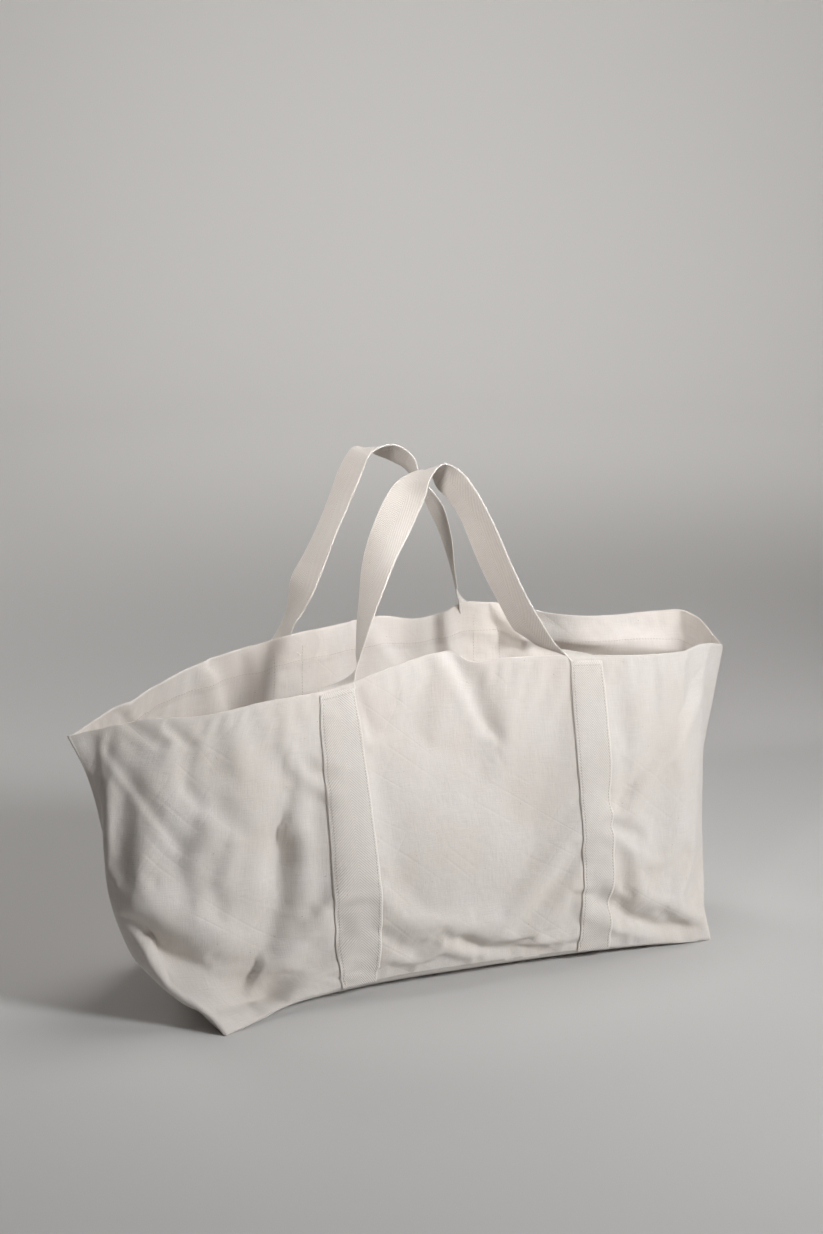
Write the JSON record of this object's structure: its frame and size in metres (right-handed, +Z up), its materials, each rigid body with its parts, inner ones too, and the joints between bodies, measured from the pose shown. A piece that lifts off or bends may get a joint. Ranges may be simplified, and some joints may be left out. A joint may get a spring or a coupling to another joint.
{
  "type": "canvas tote bag",
  "caption": "Slumped open canvas tote bag with a boxed base, pinched side seams, a turned hem and webbing straps that run up both faces and continue as swinging hand loops",
  "frame": {"origin": "on the ground, in the middle of the bottom cloth's underside", "axes": "+X along the bag towards the round end of the mouth, +Y from the front wall to the back wall, +Z up"},
  "size_m": [0.7286, 0.2912, 0.5239],
  "materials": {
    "canvas": "unbleached plain weave cotton, matt",
    "webbing": "herringbone cotton tape, matt",
    "thread": "spun cotton sewing thread"
  },
  "bodies": {
    "root": {"back_hem": "canvas", "back_hem_stitching": "thread", "back_left_strap": "webbing", "back_left_strap_stitching": "thread", "back_panel": "canvas", "back_right_strap": "webbing", "back_right_strap_stitching": "thread", "base_panel": "canvas", "front_hem": "canvas", "front_hem_stitching": "thread", "front_left_strap": "webbing", "front_left_strap_stitching": "thread", "front_panel": "canvas", "front_right_strap": "webbing", "front_right_strap_stitching": "thread"},
    "front_loop": {"front_handle": "webbing"},
    "back_loop": {"back_handle": "webbing"}
  },
  "joints": [
    {"name": "front_handle_swing", "type": "hinge", "parent": "root", "child": "front_loop", "pos_m": [0, -0.06175, 0.3155], "axis": [0.9952, -0.0804, 0.0561], "range_deg": [-6, 140]},
    {"name": "back_handle_swing", "type": "hinge", "parent": "root", "child": "back_loop", "pos_m": [-0.0135, 0.12, 0.3395], "axis": [-0.9632, -0.2686, -0.0115], "range_deg": [-6, 140]}
  ]
}
